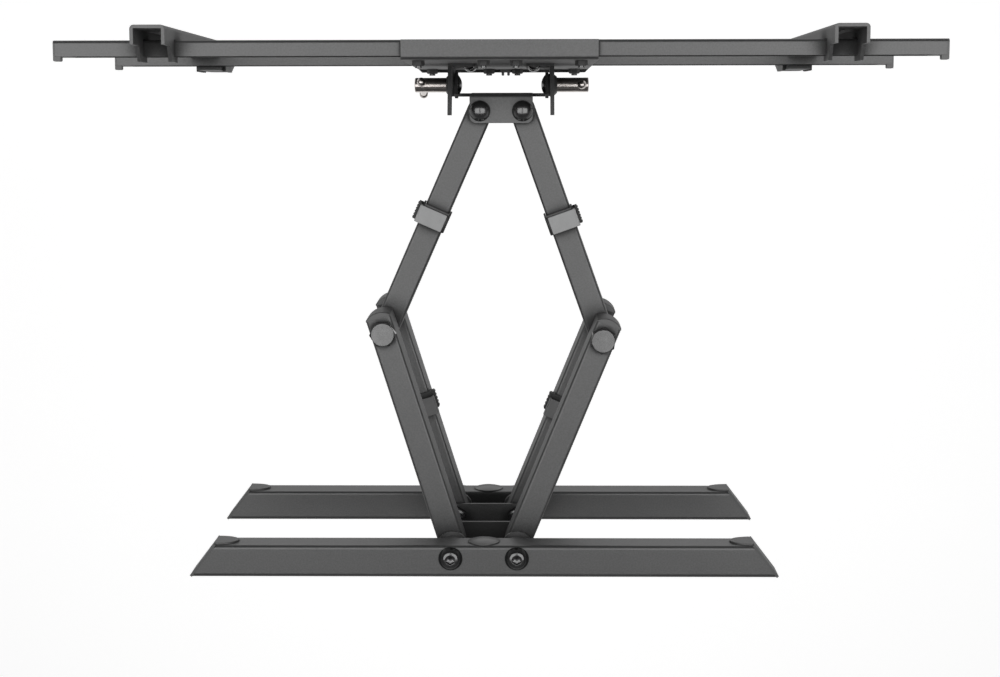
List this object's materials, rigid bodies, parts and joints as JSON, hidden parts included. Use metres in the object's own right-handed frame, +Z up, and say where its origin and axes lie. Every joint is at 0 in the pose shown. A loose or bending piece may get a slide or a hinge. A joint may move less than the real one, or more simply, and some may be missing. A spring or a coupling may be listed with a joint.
{
  "type": "tv wall mount",
  "caption": "Full-motion wall mount for a screen: folding tube arms on wall rails carry a tilting plate whose cross rails hold sliding, latched screen brackets.",
  "frame": {"origin": "on the wall plane, midway between the wall rails and midway along them", "axes": "+X to the right of a person facing the wall, +Y into the wall (the screen is towards -Y), +Z up"},
  "size_m": [0.653, 0.4188, 0.4302],
  "materials": {
    "powder_coat": "fine-textured powder coat",
    "black_steel": "black oxide, satin",
    "chrome": "bright plated",
    "zinc_steel": "zinc plated, satin",
    "black_plastic": "moulded, matte",
    "grey_plastic": "moulded, satin"
  },
  "bodies": {
    "wall_plate": {"upper_wall_rail": "powder_coat", "lower_wall_rail": "powder_coat", "centre_bracket": "powder_coat", "rail_end_caps": "black_plastic", "access_plugs": "black_plastic", "wall_pivot_bolts": "black_steel", "wall_pivot_nuts": "zinc_steel", "wall_pivot_bushes": "black_plastic", "rail_crush_sleeves": "zinc_steel"},
    "head": {"head_bracket": "powder_coat", "head_pivot_bolts": "black_steel", "head_pivot_nuts": "black_steel", "tilt_bolts": "black_steel"},
    "screen_plate": {"tilt_bracket": "powder_coat", "tilt_bracket_screws": "black_steel", "tilt_washers": "black_plastic", "centre_plate": "powder_coat", "plate_bolts": "black_steel", "plate_nuts": "black_steel", "rail_end_stops": "black_plastic", "upper_screen_rail_left": "powder_coat", "upper_screen_rail_right": "powder_coat", "lower_screen_rail_left": "powder_coat", "lower_screen_rail_right": "powder_coat"},
    "rear_arm_right": {"rear_upper_tube_right": "powder_coat", "rear_lower_tube_right": "powder_coat", "rear_sleeves_right": "zinc_steel", "elbow_caps_right": "black_plastic", "elbow_bolt_right": "black_steel", "elbow_nut_right": "black_steel", "rear_clip_right": "black_plastic"},
    "front_arm_right": {"front_tube_right": "powder_coat", "front_sleeves_right": "zinc_steel", "front_washers_right": "black_plastic", "front_clip_right": "black_plastic"},
    "rear_clip_cover_right": {"rear_clip_cover_right": "grey_plastic"},
    "front_clip_cover_right": {"front_clip_cover_right": "grey_plastic"},
    "rear_arm_left": {"rear_upper_tube_left": "powder_coat", "rear_lower_tube_left": "powder_coat", "rear_sleeves_left": "zinc_steel", "elbow_caps_left": "black_plastic", "elbow_bolt_left": "black_steel", "elbow_nut_left": "black_steel", "rear_clip_left": "black_plastic"},
    "front_arm_left": {"front_tube_left": "powder_coat", "front_sleeves_left": "zinc_steel", "front_washers_left": "black_plastic", "front_clip_left": "black_plastic"},
    "rear_clip_cover_left": {"rear_clip_cover_left": "grey_plastic"},
    "front_clip_cover_left": {"front_clip_cover_left": "grey_plastic"},
    "clamp_nut_right": {"clamp_nut_right": "chrome"},
    "tommy_bar_right": {"tommy_bar_right": "chrome"},
    "vesa_bracket_right": {"vesa_bracket_right": "powder_coat"},
    "vesa_latch_right": {"vesa_latch_right": "powder_coat"},
    "lock_screw_right": {"lock_screw_right": "black_steel"},
    "clamp_nut_left": {"clamp_nut_left": "chrome"},
    "tommy_bar_left": {"tommy_bar_left": "chrome"},
    "vesa_bracket_left": {"vesa_bracket_left": "powder_coat"},
    "vesa_latch_left": {"vesa_latch_left": "powder_coat"},
    "lock_screw_left": {"lock_screw_left": "black_steel"}
  },
  "joints": [
    {"name": "wall_pivot_right", "type": "hinge", "parent": "wall_plate", "child": "rear_arm_right", "pos_m": [0.0255, -0.015, 0], "axis": [0, 0, 1], "range_deg": [-6, 55]},
    {"name": "elbow_right", "type": "hinge", "parent": "rear_arm_right", "child": "front_arm_right", "pos_m": [0.07817, -0.18398, 0], "axis": [0, 0, 1], "range_deg": [-109, 12]},
    {"name": "rear_clip_right", "type": "hinge", "parent": "rear_arm_right", "child": "rear_clip_cover_right", "pos_m": [0.06363, -0.10472, -0.0238], "axis": [-0.2976, 0.9547, 0], "range_deg": [0, 100]},
    {"name": "front_clip_right", "type": "hinge", "parent": "front_arm_right", "child": "front_clip_cover_right", "pos_m": [0.03221, -0.26427, 0.0382], "axis": [-0.4031, -0.9152, 0], "range_deg": [0, 100]},
    {"name": "wall_pivot_left", "type": "hinge", "parent": "wall_plate", "child": "rear_arm_left", "pos_m": [-0.0255, -0.015, 0], "axis": [0, 0, 1], "range_deg": [-55, 6]},
    {"name": "elbow_left", "type": "hinge", "parent": "rear_arm_left", "child": "front_arm_left", "pos_m": [-0.09216, -0.17897, 0], "axis": [0, 0, 1], "range_deg": [-12, 109]},
    {"name": "rear_clip_left", "type": "hinge", "parent": "rear_arm_left", "child": "rear_clip_cover_left", "pos_m": [-0.07102, -0.1012, -0.0238], "axis": [-0.3766, -0.9264, 0], "range_deg": [0, 100]},
    {"name": "front_clip_left", "type": "hinge", "parent": "front_arm_left", "child": "front_clip_cover_left", "pos_m": [-0.05218, -0.26239, 0.0382], "axis": [-0.3353, 0.9421, 0], "range_deg": [0, 100]},
    {"name": "head_pivot", "type": "hinge", "parent": "front_arm_right", "child": "head", "pos_m": [0.0032, -0.3542, 0], "axis": [0, 0, 1], "range_deg": [-6, 54]},
    {"name": "tilt", "type": "hinge", "parent": "head", "child": "screen_plate", "pos_m": [-0.0133, -0.3735, 0], "axis": [1, 0, 0], "range_deg": [-7.2, 12.8]},
    {"name": "clamp_nut_turn_right", "type": "hinge", "parent": "screen_plate", "child": "clamp_nut_right", "pos_m": [-0.0133, -0.3735, 0], "axis": [1, 0, 0], "range_deg": [-39, 3]},
    {"name": "tommy_bar_slide_right", "type": "slide", "parent": "clamp_nut_right", "child": "tommy_bar_right", "axis": [0, -0.2823, 0.9593], "range_m": [0, 0.017]},
    {"name": "bracket_slide_right", "type": "slide", "parent": "screen_plate", "child": "vesa_bracket_right", "axis": [1, 0, 0], "range_m": [-0.15, 0.055]},
    {"name": "latch_slide_right", "type": "slide", "parent": "vesa_bracket_right", "child": "vesa_latch_right", "axis": [0, 0.0384, -0.9993], "range_m": [0, 0.0135]},
    {"name": "lock_screw_turn_right", "type": "hinge", "parent": "vesa_bracket_right", "child": "lock_screw_right", "pos_m": [0.2367, -0.39572, -0.13795], "axis": [1, 0, 0], "continuous": true},
    {"name": "clamp_nut_turn_left", "type": "hinge", "parent": "screen_plate", "child": "clamp_nut_left", "pos_m": [-0.0133, -0.3735, 0], "axis": [1, 0, 0], "range_deg": [-25, 15]},
    {"name": "tommy_bar_slide_left", "type": "slide", "parent": "clamp_nut_left", "child": "tommy_bar_left", "axis": [0, -0.0384, 0.9993], "range_m": [0, 0.017]},
    {"name": "bracket_slide_left", "type": "slide", "parent": "screen_plate", "child": "vesa_bracket_left", "axis": [-1, 0, 0], "range_m": [-0.15, 0.055]},
    {"name": "latch_slide_left", "type": "slide", "parent": "vesa_bracket_left", "child": "vesa_latch_left", "axis": [0, 0.0384, -0.9993], "range_m": [0, 0.0135]},
    {"name": "lock_screw_turn_left", "type": "hinge", "parent": "vesa_bracket_left", "child": "lock_screw_left", "pos_m": [-0.2633, -0.39572, -0.13795], "axis": [1, 0, 0], "continuous": true}
  ],
  "couplings": [
    {"joint": "elbow_right", "follows": "wall_pivot_right", "ratio": -1.9713},
    {"joint": "head_pivot", "follows": "wall_pivot_right", "ratio": 0.9713},
    {"joint": "wall_pivot_left", "follows": "wall_pivot_right", "ratio": -1},
    {"joint": "elbow_left", "follows": "wall_pivot_right", "ratio": 1.9638}
  ]
}
